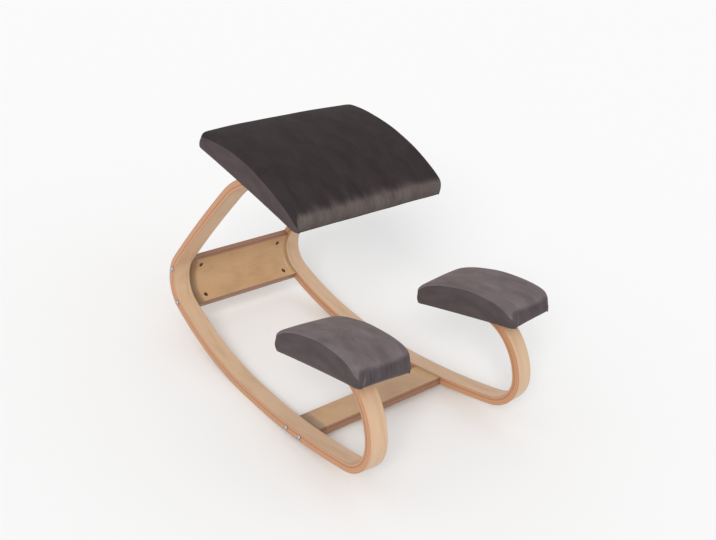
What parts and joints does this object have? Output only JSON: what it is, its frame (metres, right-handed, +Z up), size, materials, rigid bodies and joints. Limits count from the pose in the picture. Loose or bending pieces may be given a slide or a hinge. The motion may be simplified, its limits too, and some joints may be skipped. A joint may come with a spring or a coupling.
{
  "type": "rocking kneeling chair",
  "caption": "Rocking kneeling chair: bent plywood side frames with long curved runners, bent crossbars, an arched velvet seat and two velvet knee pads.",
  "frame": {"origin": "on the floor under the middle of the bounding box, with the empty chair at rest on its runners", "axes": "+X to the sitter's left, -Y the way the sitter faces, +Z up"},
  "size_m": [0.5562, 0.7269, 0.5253],
  "materials": {
    "birch_frame": "satin lacquer",
    "plywood_board": "raw sanded",
    "steel_fastener": "zinc plated",
    "foam": "open cell",
    "velvet": "short pile velvet"
  },
  "bodies": {
    "root": {"front_crossbar": "birch_frame", "front_crossbar_barrel_nuts": "steel_fastener", "front_crossbar_bolts": "steel_fastener", "knee_board_left": "plywood_board", "knee_board_right": "plywood_board", "knee_bolts": "steel_fastener", "knee_cover_left": "velvet", "knee_cover_right": "velvet", "knee_foam_left": "foam", "knee_foam_right": "foam", "knee_tee_nuts": "steel_fastener", "rear_crossbar": "birch_frame", "rear_crossbar_barrel_nuts": "steel_fastener", "rear_crossbar_bolts": "steel_fastener", "seat_board": "plywood_board", "seat_bolts": "steel_fastener", "seat_cover": "velvet", "seat_foam": "foam", "seat_tee_nuts": "steel_fastener", "side_frame_left": "birch_frame", "side_frame_right": "birch_frame"}
  },
  "joints": []
}
